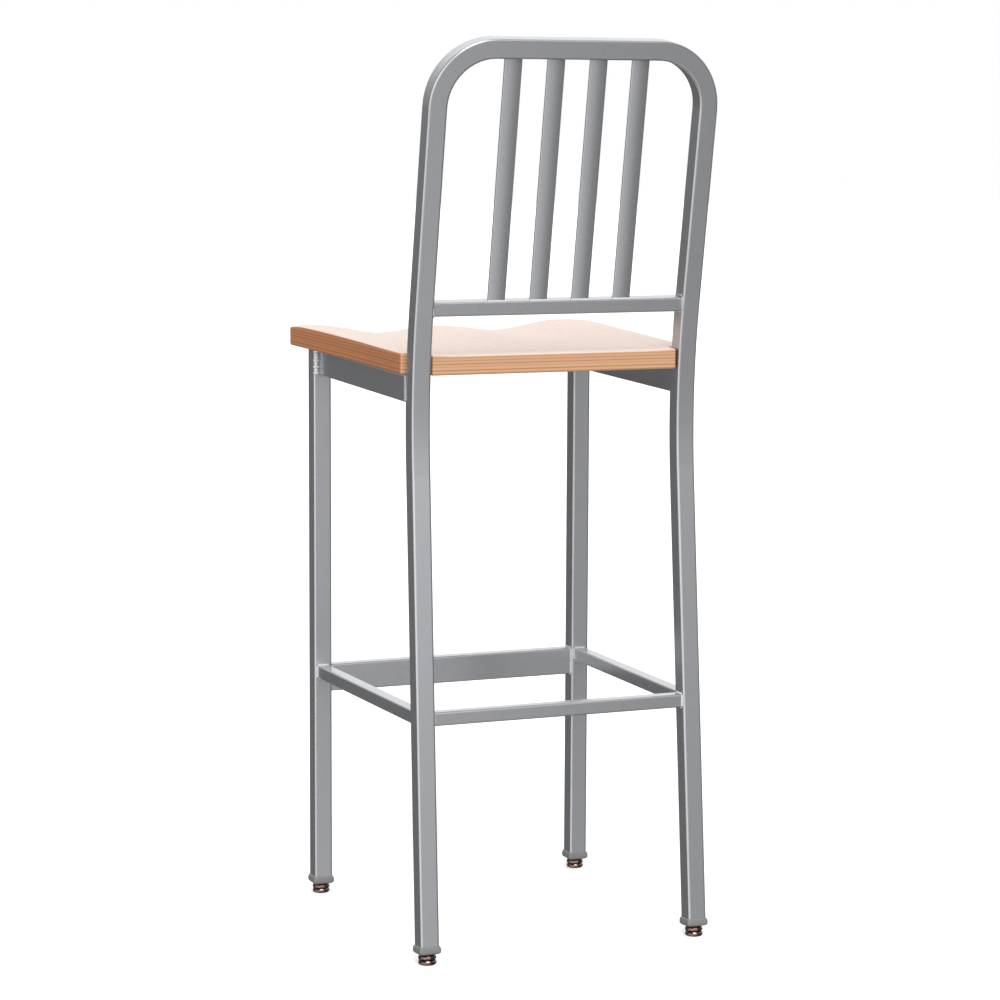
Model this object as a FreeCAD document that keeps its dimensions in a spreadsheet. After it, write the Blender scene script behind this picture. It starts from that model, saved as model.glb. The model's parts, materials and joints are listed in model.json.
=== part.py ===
import FreeCAD, Part
import math
import os
import Sketcher

from FreeCAD import Placement, Rotation, Vector

# Bar stool with a footrest: a welded square-tube frame, a carved plywood seat and four levelling glides.
# Millimetres. +Z up, the sitter faces -Y, "left" and "right" are the sitter's, so left is +X.
# The origin is on the floor, below the middle of the whole stool.

doc = FreeCAD.newDocument("bar_stool")
sheet = doc.addObject("Spreadsheet::Sheet", "Sizes")

SIZES = {
    # square tube of the legs and of the back hoop
    "tube": 25.4, "tube_corner": 2.8, "tube_wall": 1.5,
    # smaller tube of the stretchers, and of the lower back rail
    "stretcher": 18, "back_rail": 19, "small_corner": 2.5, "small_wall": 1.2,
    # rear frame: one bent tube, seen from the side it leans back below and above the seat
    "rear_centre": 187.3, "foot_splay": 4.2, "leg_lean": 4.15, "back_rake": 10,
    "bend_place": 164.6, "bend_height": 739.4, "bend_radius": 900,
    "hoop_height": 1172.8, "hoop_radius": 75,
    # front legs
    "front_centre": 195.8, "front_place": -184.7,
    # back: lower rail and four slats
    "back_rail_height": 844.8, "slat_wide": 24, "slat_thick": 4, "slat_pitch": 58.6, "slat_set": 5.3,
    # rails below the seat
    "seat_rail_tall": 35, "seat_rail_thick": 19, "seat_rail_play": 0.05,
    # footrest ring: all four rails have their tops level
    "footrest_top": 326.2, "footrest_tall": 38, "footrest_thick": 19,
    # seat: outline measured from the middle of its rear edge, on the underside
    "seat_slope": 1.45, "seat_back_place": 183, "seat_back_height": 758.5, "seat_blank": 33,
    "seat_deep": 438.2, "seat_back_half": 172.6, "notch_deep": 27.5, "wing_half": 205.5,
    "seat_front_half": 221, "seat_side_radius": 6500, "seat_front_corner": 18, "seat_small_corner": 3,
    "seat_back_thick": 24.5, "seat_side_rise": 3, "groove_thick": 17, "pommel_rise": 8,
    "ridge_rise": 13.5, "groove_place": 88, "ridge_place": 193, "front_drop": 5,
    # tabs and screws that hold the seat
    "tab_wide": 24, "tab_long": 34, "tab_thick": 3, "tab_front_place": -120, "tab_rear_place": 105,
    "screw_shank": 2.2, "screw_head": 4.6, "screw_head_tall": 2.6, "screw_reach": 14, "tab_hole": 2.6,
    # feet, measured along the stem from the middle of the tilting joint
    "tilt_height": 4.4, "tube_end": 20, "cap_end": 9.2, "cap_belly": 29.8, "cap_belly_corner": 3.2,
    "cap_round_low": 3.2, "cap_round_high": 5, "cap_foot": 22.5, "cap_foot_corner": 5.5,
    "plug_long": 22, "plug_play": 0.2,
    "bush_radius": 6.5, "bush_low": 9.8, "bush_high": 40, "stem_radius": 4, "running_play": 0.05,
    "stem_top": 47, "collar_radius": 11.75, "collar_low": 4.4, "collar_high": 8.8, "collar_crown": 8.6,
    "collar_lip": 1.6, "collar_rim": 2.8, "collar_edge": 0.6, "collar_belly": 4.3, "collar_dome": 5,
    "neck_radius": 3, "rivet_radius": 4.2, "rivet_low": -2.7, "ball_seat_low": -2.0, "ball_seat_high": 2.2,
    "ball_seat_radius": 7.5, "base_radius": 11.75, "base_bore": 8, "base_floor": 0.8, "base_top": 6.4,
}
for row, (name, size) in enumerate(SIZES.items(), start=1):
    sheet.set(f"A{row}", name)
    sheet.set(f"B{row}", str(size))
    sheet.setAlias(f"B{row}", name)
doc.recompute()


def value(formula):
    """The number that a formula on the sheet's names gives."""
    return float(sheet.evalExpression(formula))


def named(name):
    return "Sizes." + name


def bind(thing, prop, formula):
    thing.setExpression(prop, formula)


# ---------------------------------------------------------------- places worked out on the sheet
LEAN, RAKE = named("leg_lean"), named("back_rake")
BEND_Y, BEND_Z = named("bend_place"), named("bend_height")
BEND_RUN = f"(Sizes.bend_radius * tan(({LEAN} + {RAKE}) / 2))"
KNEE_Y = f"({BEND_Y} + {BEND_RUN} * sin({LEAN}))"
KNEE_Z = f"({BEND_Z} - {BEND_RUN} * cos({LEAN}))"
WAIST_Y = f"({BEND_Y} + {BEND_RUN} * sin({RAKE}))"
WAIST_Z = f"({BEND_Z} + {BEND_RUN} * cos({RAKE}))"
HOOP_Z = named("hoop_height")
HOOP_Y = f"({BEND_Y} + ({HOOP_Z} - {BEND_Z}) * tan({RAKE}))"
SHOULDER_Y = f"({HOOP_Y} - Sizes.hoop_radius * sin({RAKE}))"
SHOULDER_Z = f"({HOOP_Z} - Sizes.hoop_radius * cos({RAKE}))"
REAR_FOOT_X = "(Sizes.rear_centre + Sizes.foot_splay)"
REAR_FOOT_Y = f"({BEND_Y} + ({BEND_Z} - Sizes.tilt_height) * tan({LEAN}))"
ANKLE_Y = f"({REAR_FOOT_Y} - Sizes.tube_end * sin({LEAN}))"
ANKLE_Z = f"(Sizes.tilt_height + Sizes.tube_end * cos({LEAN}))"
STRETCHER_Z = "(Sizes.footrest_top - Sizes.stretcher / 2)"
REAR_LEG_Y = f"({BEND_Y} + ({BEND_Z} - {STRETCHER_Z}) * tan({LEAN}))"
REAR_LEG_X = (f"(Sizes.rear_centre + Sizes.foot_splay * ({KNEE_Z} - {STRETCHER_Z})"
              f" / ({KNEE_Z} - {ANKLE_Z}))")
FRONT_FACE = "(Sizes.front_place + Sizes.tube / 2)"
BACK_RAIL_Y = f"({BEND_Y} + (Sizes.back_rail_height - {BEND_Z}) * tan({RAKE}))"


def seat_underside(place):
    """Height of the seat's underside at a place along Y."""
    return f"(Sizes.seat_back_height + (Sizes.seat_back_place - {place}) * tan(Sizes.seat_slope))"


# ---------------------------------------------------------------- small modelling helpers
def new_body(label):
    body = doc.addObject("PartDesign::Body", label)
    body.Label = label
    return body


def origin_plane(body, role):
    return next(item for item in body.Origin.OriginFeatures if item.Role == role)


def new_sketch(body, role, name, at=("0", "0", "0"), turn=None):
    """A sketch on one of the body's origin planes, moved and turned by formulas."""
    sketch = body.newObject("Sketcher::SketchObject", name)
    sketch.AttachmentSupport = (origin_plane(body, role), [""])
    sketch.MapMode = "FlatFace"
    base = Vector(*(value(part) for part in at))
    if turn:
        axis, angle = turn
        sketch.AttachmentOffset = Placement(base, Rotation(axis, value(angle)))
        bind(sketch, "AttachmentOffset.Rotation.Angle", angle)
    else:
        sketch.AttachmentOffset = Placement(base, Rotation())
    for letter, part in zip("xyz", at):
        bind(sketch, f"AttachmentOffset.Base.{letter}", part)
    return sketch


def add_rounded_box(sketch, name, wide, deep, corner, offset=None):
    """A rectangle with round corners about the sketch's origin, or about a point on its X axis."""
    half_w, half_d, radius = value(wide) / 2, value(deep) / 2, value(corner)
    shift = value(offset) if offset else 0.0
    in_w, in_d = half_w - radius, half_d - radius
    corners = [(in_w, -in_d, 270), (in_w, in_d, 0), (-in_w, in_d, 90), (-in_w, -in_d, 180)]
    sides = [((-in_w, -half_d), (in_w, -half_d)), ((half_w, -in_d), (half_w, in_d)),
             ((in_w, half_d), (-in_w, half_d)), ((-half_w, in_d), (-half_w, -in_d))]
    first = sketch.GeometryCount
    for (start, end), (cx, cy, angle) in zip(sides, corners):
        sketch.addGeometry(Part.LineSegment(Vector(start[0] + shift, start[1], 0),
                                            Vector(end[0] + shift, end[1], 0)), False)
        circle = Part.Circle(Vector(cx + shift, cy, 0), Vector(0, 0, 1), radius)
        sketch.addGeometry(Part.ArcOfCircle(circle, math.radians(angle), math.radians(angle + 90)), False)
    for side in range(4):
        line, arc = first + 2 * side, first + 2 * side + 1
        following = first + (2 * side + 2) % 8
        sketch.addConstraint(Sketcher.Constraint("Tangent", line, 2, arc, 1))
        sketch.addConstraint(Sketcher.Constraint("Tangent", arc, 2, following, 1))
        sketch.addConstraint(Sketcher.Constraint("Horizontal" if side % 2 == 0 else "Vertical", line))
        if side:
            sketch.addConstraint(Sketcher.Constraint("Equal", first + 1, arc))
    if offset:
        sketch.addGeometry(Part.Point(Vector(shift, 0, 0)), True)
        centre = sketch.GeometryCount - 1
        sketch.addConstraint(Sketcher.Constraint("PointOnObject", centre, 1, -1))
        sketch.addConstraint(Sketcher.Constraint("DistanceX", -1, 1, centre, 1, shift))
        sketch.renameConstraint(sketch.ConstraintCount - 1, name + "_offset")
        bind(sketch, f"Constraints.{name}_offset", offset)
        sketch.addConstraint(Sketcher.Constraint("Symmetric", first + 1, 3, first + 5, 3, centre, 1))
    else:
        sketch.addConstraint(Sketcher.Constraint("Symmetric", first + 1, 3, first + 5, 3, -1, 1))
    driving = [("wide", "DistanceX", (first + 6, 1, first + 2, 1), wide),
               ("deep", "DistanceY", (first, 1, first + 4, 1), deep),
               ("corner", "Radius", (first + 1,), corner)]
    for what, kind, picks, formula in driving:
        sketch.addConstraint(Sketcher.Constraint(kind, *picks, value(formula)))
        sketch.renameConstraint(sketch.ConstraintCount - 1, f"{name}_{what}")
        bind(sketch, f"Constraints.{name}_{what}", formula)


def add_tube_section(sketch, wide, deep, corner, wall, offset=None):
    add_rounded_box(sketch, "outer", wide, deep, corner, offset)
    add_rounded_box(sketch, "inner", f"{wide} - 2 * {wall}", f"{deep} - 2 * {wall}",
                    f"{corner} - {wall}", offset)


def add_square_tube_section(sketch, offset=None):
    add_tube_section(sketch, named("tube"), named("tube"), named("tube_corner"), named("tube_wall"), offset)


def add_loft(body, name, sections, ruled=False):
    loft = body.newObject("PartDesign::AdditiveLoft", name)
    loft.Profile = sections[0]
    loft.Sections = sections[1:]
    loft.Ruled = ruled or len(sections) == 2
    return loft


def add_pad(body, name, sketch, length, midplane=False):
    pad = body.newObject("PartDesign::Pad", name)
    pad.Profile = sketch
    bind(pad, "Length", length)
    pad.Midplane = midplane
    return pad


def add_circle(sketch, name, radius):
    index = sketch.addGeometry(Part.Circle(Vector(0, 0, 0), Z_AXIS, value(radius)), False)
    sketch.addConstraint(Sketcher.Constraint("Coincident", index, 3, -1, 1))
    sketch.addConstraint(Sketcher.Constraint("Radius", index, value(radius)))
    sketch.renameConstraint(sketch.ConstraintCount - 1, name)
    bind(sketch, "Constraints." + name, radius)


def add_polygon(sketch, points, arcs=()):
    """A closed outline whose every corner is bound to a pair of formulas; some sides may be arcs."""
    spots = [Vector(value(x), value(y), 0) for x, y in points]
    count = len(spots)
    bulges = dict(arcs)
    for index in range(count):
        start, end = spots[index], spots[(index + 1) % count]
        if index in bulges:
            radius = value(bulges[index])
            chord = end - start
            rise = radius - math.sqrt(radius ** 2 - (chord.Length / 2) ** 2)
            outward = Vector(chord.y, -chord.x, 0).normalize()
            middle = (start + end) * 0.5 + outward * rise
            sketch.addGeometry(Part.Arc(start, middle, end), False)
        else:
            sketch.addGeometry(Part.LineSegment(start, end), False)
    ends = []
    for index in range(count):
        geometry = sketch.Geometry[index]
        forward = geometry.StartPoint.distanceToPoint(spots[index]) < 1e-6
        ends.append((1, 2) if forward else (2, 1))
    for index in range(count):
        following = (index + 1) % count
        pair = (index, ends[index][1], following, ends[following][0])
        sketch.addConstraint(Sketcher.Constraint("Coincident", *pair))
    for index, (x, y) in enumerate(points):
        for kind, letter, formula in (("DistanceX", "x", x), ("DistanceY", "y", y)):
            sketch.addConstraint(Sketcher.Constraint(kind, -1, 1, index, ends[index][0], value(formula)))
            sketch.renameConstraint(sketch.ConstraintCount - 1, f"p{index}_{letter}")
            if value(formula) != 0:
                bind(sketch, f"Constraints.p{index}_{letter}", formula)
    for index, formula in bulges.items():
        sketch.addConstraint(Sketcher.Constraint("Radius", index, value(formula)))
        sketch.renameConstraint(sketch.ConstraintCount - 1, f"side{index}_radius")
        bind(sketch, f"Constraints.side{index}_radius", formula)


def revolve(body, name, sketch, angle=360.0):
    turned = body.newObject("PartDesign::Revolution", name)
    turned.Profile = sketch
    turned.ReferenceAxis = (sketch, ["V_Axis"])
    turned.Angle = angle
    return turned


def place(thing, at, axis=Vector(1, 0, 0), turn=None):
    """Puts a finished part where formulas say, turned about one axis."""
    angle = value(turn) if turn else 0.0
    thing.Placement = Placement(Vector(*(value(part) for part in at)), Rotation(axis, angle))
    for letter, part in zip("xyz", at):
        bind(thing, f"Placement.Base.{letter}", part)
    if turn:
        bind(thing, "Placement.Rotation.Angle", turn)


X_AXIS, Z_AXIS = Vector(1, 0, 0), Vector(0, 0, 1)
CAP_STEPS = 3
nodes = []


# ---------------------------------------------------------------- rear frame: legs and hoop in one tube
def rear_frame_tube():
    body = new_body("rear_frame_tube")
    ankle = new_sketch(body, "XY_Plane", "ankle", (REAR_FOOT_X, ANKLE_Y, ANKLE_Z), (X_AXIS, LEAN))
    knee = new_sketch(body, "XY_Plane", "knee", (named("rear_centre"), KNEE_Y, KNEE_Z), (X_AXIS, LEAN))
    add_square_tube_section(ankle)
    add_square_tube_section(knee)
    leg = add_loft(body, "leg", [ankle, knee])

    bend_start = new_sketch(body, "XY_Plane", "bend_start", (named("rear_centre"), KNEE_Y, KNEE_Z),
                            (X_AXIS, LEAN))
    add_square_tube_section(bend_start)
    spine = new_sketch(body, "YZ_Plane", "spine", ("0", "0", named("rear_centre")))
    add_upright_spine(spine)
    upright = body.newObject("PartDesign::AdditivePipe", "upright")
    upright.Profile = bend_start
    upright.Spine = (spine, [])

    shoulder = new_sketch(body, "XY_Plane", "shoulder",
                          ("Sizes.rear_centre - Sizes.hoop_radius", SHOULDER_Y, SHOULDER_Z),
                          (X_AXIS, "-" + RAKE))
    add_square_tube_section(shoulder, named("hoop_radius"))
    corner = revolve(body, "hoop_corner", shoulder, 90.0)
    corner.Reversed = True

    crown = new_sketch(body, "YZ_Plane", "crown", (HOOP_Y, HOOP_Z, "0"), (Z_AXIS, "-" + RAKE))
    add_square_tube_section(crown)
    top = add_pad(body, "hoop_top", crown, "Sizes.rear_centre - Sizes.hoop_radius")

    mirrored = body.newObject("PartDesign::Mirrored", "other_side")
    mirrored.Originals = [leg, upright, corner, top]
    mirrored.MirrorPlane = (origin_plane(body, "YZ_Plane"), [""])
    body.Tip = mirrored
    nodes.append(body)


def add_upright_spine(sketch):
    """The bend behind the seat and the straight run up to the shoulder, seen from the side."""
    knee = Vector(value(KNEE_Y), value(KNEE_Z), 0)
    waist = Vector(value(WAIST_Y), value(WAIST_Z), 0)
    shoulder = Vector(value(SHOULDER_Y), value(SHOULDER_Z), 0)
    lean, radius = math.radians(value(LEAN)), value("Sizes.bend_radius")
    centre = knee + Vector(math.cos(lean), math.sin(lean), 0) * radius
    low_angle = math.pi + lean
    high_angle = math.pi - math.radians(value(RAKE))
    arc = Part.ArcOfCircle(Part.Circle(centre, Vector(0, 0, 1), radius), high_angle, low_angle)
    sketch.addGeometry(arc, False)
    sketch.addGeometry(Part.LineSegment(waist, shoulder), False)
    sketch.addConstraint(Sketcher.Constraint("Tangent", 0, 1, 1, 1))
    for geometry, point, name, (x, y) in ((0, 2, "knee", (KNEE_Y, KNEE_Z)),
                                          (1, 1, "waist", (WAIST_Y, WAIST_Z)),
                                          (1, 2, "shoulder", (SHOULDER_Y, SHOULDER_Z))):
        for kind, letter, formula in (("DistanceX", "y", x), ("DistanceY", "z", y)):
            if name == "waist" and letter == "y":
                continue
            sketch.addConstraint(Sketcher.Constraint(kind, -1, 1, geometry, point, value(formula)))
            sketch.renameConstraint(sketch.ConstraintCount - 1, f"{name}_{letter}")
            bind(sketch, f"Constraints.{name}_{letter}", formula)


# ---------------------------------------------------------------- straight tubes
def across_tube(label, wide, deep, corner, wall, half_long, at, turn=None):
    """A tube along X; wide is its height and deep its depth before it is turned about X."""
    body = new_body(label)
    section = new_sketch(body, "YZ_Plane", "section", ("0", "0", "0"))
    add_tube_section(section, deep, wide, corner, wall)
    add_pad(body, "length", section, f"2 * ({half_long})", midplane=True)
    place(body, ("0", at[0], at[1]), turn=turn)
    nodes.append(body)


def fore_aft_tube(label, wide, tall, corner, wall, front, rear, rear_tilt):
    """A tube along Y between two places (x, y, z), its rear end cut to the slope of the rear leg."""
    body = new_body(label)
    front_end = new_sketch(body, "XZ_Plane", "front_end", (front[0], front[2], f"-({front[1]})"))
    add_tube_section(front_end, wide, tall, corner, wall)
    rear_end = new_sketch(body, "XZ_Plane", "rear_end", (rear[0], rear[2], f"-({rear[1]})"),
                          (X_AXIS, rear_tilt))
    add_tube_section(rear_end, wide, f"{tall} / cos({rear_tilt})", corner, wall)
    add_loft(body, "length", [front_end, rear_end])
    nodes.append(body)


def front_leg(label, side):
    """Upright leg whose top is cut to the slope of the seat."""
    body = new_body(label)
    centre = f"{side} * Sizes.front_centre"
    low = new_sketch(body, "XY_Plane", "low_end",
                     (centre, named("front_place"), "Sizes.tilt_height + Sizes.tube_end"))
    add_square_tube_section(low)
    high = new_sketch(body, "XY_Plane", "high_end",
                      (centre, named("front_place"), seat_underside("Sizes.front_place")),
                      (X_AXIS, "-Sizes.seat_slope"))
    add_tube_section(high, named("tube"), "Sizes.tube / cos(Sizes.seat_slope)", named("tube_corner"),
                     named("tube_wall"))
    add_loft(body, "length", [low, high])
    nodes.append(body)


SMALL = (named("small_corner"), named("small_wall"))
SIDES = {"left": 1, "right": -1}


def footrest_ring():
    across_tube("footrest_rail", named("footrest_tall"), named("footrest_thick"), *SMALL,
                "Sizes.front_centre - Sizes.tube / 2",
                (named("front_place"), "Sizes.footrest_top - Sizes.footrest_tall / 2"))
    across_tube("rear_stretcher", named("stretcher"), named("stretcher"), *SMALL,
                f"{REAR_LEG_X} - Sizes.tube / 2 - 0.1", (REAR_LEG_Y, STRETCHER_Z))
    leg_face = f"({REAR_LEG_Y} - Sizes.tube / 2 / cos({LEAN}))"
    for name, side in SIDES.items():
        fore_aft_tube(f"side_stretcher_{name}", named("stretcher"), named("stretcher"), *SMALL,
                      (f"{side} * Sizes.front_centre", FRONT_FACE, STRETCHER_Z),
                      (f"{side} * {REAR_LEG_X}", leg_face, STRETCHER_Z), LEAN)


def seat_rails():
    tall = named("seat_rail_tall")
    half_tall = f"({tall} / 2)"
    below_seat = f"({half_tall} + Sizes.seat_rail_play)"
    # the rails' inner faces are in line with the inner faces of the front legs
    centre = "(Sizes.front_centre - Sizes.tube / 2 + Sizes.seat_rail_thick / 2)"
    # at the rails the rear frame is halfway round its bend
    bend_set_back = f"(Sizes.bend_radius * (1 / cos(({LEAN} + {RAKE}) / 2) - 1))"
    upright_face = f"({BEND_Y} + {bend_set_back} - Sizes.tube / 2)"
    tilt = f"(({LEAN} - {RAKE}) / 2)"
    for name, side in SIDES.items():
        fore_aft_tube(f"seat_rail_{name}", named("seat_rail_thick"), tall, *SMALL,
                      (f"{side} * {centre}", FRONT_FACE, f"{seat_underside(FRONT_FACE)} - {below_seat}"),
                      (f"{side} * {centre}", upright_face,
                       f"{seat_underside(upright_face)} - {below_seat}"), tilt)
    slope = "Sizes.seat_slope"
    across_tube("seat_rail_front", tall, named("seat_rail_thick"), *SMALL,
                "Sizes.front_centre - Sizes.tube / 2",
                (f"Sizes.front_place - {half_tall} * sin({slope})",
                 f"{seat_underside('Sizes.front_place')} - {half_tall} * cos({slope})"), "-" + slope)


# ---------------------------------------------------------------- back
def back():
    across_tube("lower_back_rail", named("back_rail"), named("back_rail"), *SMALL,
                "Sizes.rear_centre - Sizes.tube / 2", (BACK_RAIL_Y, named("back_rail_height")), "-" + RAKE)
    slat_low = "(Sizes.back_rail / 2)"
    slat_long = (f"(({HOOP_Z} - Sizes.back_rail_height) / cos({RAKE}) - Sizes.tube / 2"
                 f" - {slat_low})")
    for index in range(4):
        slat = doc.addObject("Part::Box", f"back_slat_{index + 1}")
        slat.Label = f"back_slat_{index + 1}"
        bind(slat, "Length", named("slat_wide"))
        bind(slat, "Width", named("slat_thick"))
        bind(slat, "Height", slat_long)
        set_back = "(Sizes.slat_set - Sizes.slat_thick / 2)"
        place(slat, (f"{1.5 - index} * Sizes.slat_pitch - Sizes.slat_wide / 2",
                     f"{BACK_RAIL_Y} + {set_back} * cos({RAKE}) + {slat_low} * sin({RAKE})",
                     f"Sizes.back_rail_height - {set_back} * sin({RAKE}) + {slat_low} * cos({RAKE})"),
              turn="-" + RAKE)
        nodes.append(slat)


# ---------------------------------------------------------------- seat
def smooth_step(low, high, here):
    part = min(max((here - low) / (high - low), 0.0), 1.0)
    return part * part * (3 - 2 * part)


def seat_thickness(across, along):
    """Thickness of the carved seat at a place; along runs from 0 at the rear edge to 1 at the front."""
    out = abs(across)
    back = value("Sizes.seat_back_thick") + value("Sizes.seat_side_rise") * smooth_step(130, 200, out)
    groove, ridge = value("Sizes.groove_place"), value("Sizes.ridge_place")
    if out < groove:
        wave = value("Sizes.pommel_rise") * (1 + math.cos(math.pi * out / groove)) / 2
    else:
        turn = math.pi * (out - groove) / (ridge - groove)
        wave = value("Sizes.ridge_rise") * (1 - math.cos(turn)) / 2
    front = value("Sizes.groove_thick") + wave
    share = smooth_step(0.12, 0.8, along)
    drop = value("Sizes.front_drop") * smooth_step(0.86, 1.06, along)
    return back * (1 - share) + front * share - drop


def seat_panel():
    blank = new_body("seat_blank")
    outline = new_sketch(blank, "XY_Plane", "outline")
    right = [("Sizes.seat_back_half", "0"), ("Sizes.seat_back_half", "-Sizes.notch_deep"),
             ("Sizes.wing_half", "-Sizes.notch_deep"), ("Sizes.seat_front_half", "-Sizes.seat_deep")]
    left = [(f"-{x}", y) for x, y in reversed(right)]
    # clockwise from the rear edge, so that the long sides bulge outward
    add_polygon(outline, left + right, arcs=((0, "Sizes.seat_side_radius"), (6, "Sizes.seat_side_radius")))
    pad = add_pad(blank, "slab", outline, named("seat_blank"))
    doc.recompute()
    soften_upright_edges(blank, pad)

    top = doc.addObject("Part::Feature", "seat_top")
    top.Shape = carving_tool()
    carved = doc.addObject("Part::Cut", "seat_panel")
    carved.Base = blank
    carved.Tool = top
    carved.Label = "seat_panel"
    place(carved, ("0", named("seat_back_place"), named("seat_back_height")), turn="-Sizes.seat_slope")
    nodes.append(carved)


def soften_upright_edges(body, pad):
    """Round the front corners widely and the four small rear corners a little."""
    groups = {"seat_front_corner": [], "seat_small_corner": []}
    for index, edge in enumerate(pad.Shape.Edges, start=1):
        ends = [vertex.Point for vertex in edge.Vertexes]
        if len(ends) != 2 or abs(ends[0].z - ends[1].z) < 1:
            continue
        at_front = ends[0].y < -value("Sizes.seat_deep") / 2
        inside_notch = abs(ends[0].y) > 1 and abs(abs(ends[0].x) - value("Sizes.seat_back_half")) < 1
        if not inside_notch:
            groups["seat_front_corner" if at_front else "seat_small_corner"].append(f"Edge{index}")
    base = pad
    for size, edges in groups.items():
        if base is not pad:
            doc.recompute()
            edges = [f"Edge{index}" for index, edge in enumerate(base.Shape.Edges, start=1)
                     if is_small_corner(edge)]
        fillet = body.newObject("PartDesign::Fillet", size)
        fillet.Base = (base, edges)
        bind(fillet, "Radius", named(size))
        base = fillet
    body.Tip = base


def is_small_corner(edge):
    ends = [vertex.Point for vertex in edge.Vertexes]
    if len(ends) != 2 or abs(ends[0].z - ends[1].z) < 1:
        return False
    spot = ends[0]
    rear_corner = abs(spot.y) < 1
    wing_corner = abs(abs(spot.x) - value("Sizes.wing_half")) < 1
    return rear_corner or wing_corner


def carving_tool():
    """Everything above the carved top, as one solid."""
    half, deep = value("Sizes.seat_front_half") + 12, value("Sizes.seat_deep")
    columns, rows = 31, 17
    grid = []
    for row in range(rows):
        along = -0.03 + 1.06 * row / (rows - 1)
        line = []
        for column in range(columns):
            across = half * (2 * column / (columns - 1) - 1)
            line.append(Vector(across, -along * deep, seat_thickness(across, along)))
        grid.append(line)
    surface = Part.BSplineSurface()
    surface.interpolate(grid)
    return surface.toShape().extrude(Vector(0, 0, value("Sizes.seat_blank") + 10))


# ---------------------------------------------------------------- tabs and screws below the seat
def seat_fixings():
    inner_face = "(Sizes.front_centre - Sizes.tube / 2)"
    screws = []
    for name, side in SIDES.items():
        for end in ("front", "rear"):
            label = f"seat_tab_{end}_{name}"
            spot = f"Sizes.tab_{end}_place"
            centre = f"{side} * ({inner_face} - Sizes.tab_wide / 2)"
            plate = doc.addObject("Part::Box", label + "_plate")
            bind(plate, "Length", named("tab_wide"))
            bind(plate, "Width", named("tab_long"))
            bind(plate, "Height", named("tab_thick"))
            place(plate, ("-Sizes.tab_wide / 2", "-Sizes.tab_long / 2", "-Sizes.tab_thick"))
            hole = doc.addObject("Part::Cylinder", label + "_hole")
            bind(hole, "Radius", named("tab_hole"))
            bind(hole, "Height", "3 * Sizes.tab_thick")
            place(hole, ("0", "0", "-2 * Sizes.tab_thick"))
            tab = doc.addObject("Part::Cut", label)
            tab.Base = plate
            tab.Tool = hole
            tab.Label = label
            place(tab, (centre, spot, seat_underside(spot)), turn="-Sizes.seat_slope")
            nodes.append(tab)
            screws.append(seat_screw(label, centre, spot))
    group = doc.addObject("Part::Compound", "seat_screws")
    group.Links = screws
    group.Label = "seat_screws"
    nodes.append(group)


def seat_screw(label, centre, spot):
    """A pan-head wood screw, driven up through a tab into the seat."""
    body = new_body(label + "_screw")
    half = new_sketch(body, "XZ_Plane", "half")
    head_top = "-Sizes.tab_thick"
    head_low = "(-Sizes.tab_thick - Sizes.screw_head_tall)"
    add_polygon(half, [("0", head_low), ("Sizes.screw_head * 0.7", head_low),
                       ("Sizes.screw_head", f"{head_low} + 0.9"), ("Sizes.screw_head", head_top),
                       ("Sizes.screw_shank", head_top), ("Sizes.screw_shank", "Sizes.screw_reach - 3"),
                       ("0", "Sizes.screw_reach")])
    revolve(body, "turned", half)
    place(body, (centre, spot, seat_underside(spot)), turn="-Sizes.seat_slope")
    return body


# ---------------------------------------------------------------- feet
def foot(name, across, along, lean):
    """Cap, threaded bush, stem, ball seat and tilting base; the first four follow the leg's lean."""
    at = (across, along, named("tilt_height"))
    for part in (leg_cap, glide_bush, glide_stem, glide_ball_seat):
        body = part(f"{part.__name__}_{name}")
        place(body, at, turn=lean)
        nodes.append(body)
    base = glide_base(f"glide_base_{name}")
    place(base, (across, along, "0"))
    nodes.append(base)


def quarter_round(end, level, turn, height, wide, corner):
    """Sections that swell from an end of the cap to its belly along a quarter of an ellipse."""
    sections = []
    for part in range(CAP_STEPS + 1):
        angle = math.radians(90 * part / CAP_STEPS)
        rise, swell = round(1 - math.cos(angle), 6), round(math.sin(angle), 6)
        place = f"({named(level)} + {turn} * {rise} * {named(height)})"
        span = f"({named(wide)} + {swell} * (Sizes.cap_belly - {named(wide)}))"
        radius = f"({named(corner)} + {swell} * (Sizes.cap_belly_corner - {named(corner)}))"
        sections.append((f"{end}_{part}", place, span, radius))
    return sections


def leg_cap(label):
    body = new_body(label)
    low = quarter_round("low", "cap_end", 1, "cap_round_low", "cap_foot", "cap_foot_corner")
    high = quarter_round("high", "tube_end", -1, "cap_round_high", "tube", "tube_corner")
    sections = []
    for part, place, span, radius in low + high[::-1]:
        sketch = new_sketch(body, "XY_Plane", part, ("0", "0", place))
        add_rounded_box(sketch, part, span, span, radius)
        sections.append(sketch)
    add_loft(body, "skirt", sections, ruled=True)
    inside = "(Sizes.tube - 2 * Sizes.tube_wall - 2 * Sizes.plug_play)"
    plug = new_sketch(body, "XY_Plane", "plug", ("0", "0", named("tube_end")))
    add_rounded_box(plug, "plug", inside, inside, "Sizes.tube_corner - Sizes.tube_wall")
    add_pad(body, "plug_length", plug, named("plug_long"))
    doc.recompute()
    bore = new_sketch(body, "XY_Plane", "bore", ("0", "0", named("cap_end")))
    add_circle(bore, "bore_radius", named("bush_radius"))
    pocket = body.newObject("PartDesign::Pocket", "bush_bore")
    pocket.Profile = bore
    pocket.Type = "ThroughAll"
    pocket.Reversed = True
    return body


def ring(label, inner, outer, low, high):
    body = new_body(label)
    half = new_sketch(body, "XZ_Plane", "half")
    add_polygon(half, [(inner, low), (outer, low), (outer, high), (inner, high)])
    revolve(body, "turned", half)
    return body


def glide_bush(label):
    return ring(label, "Sizes.stem_radius + Sizes.running_play", named("bush_radius"), named("bush_low"),
                named("bush_high"))


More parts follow.
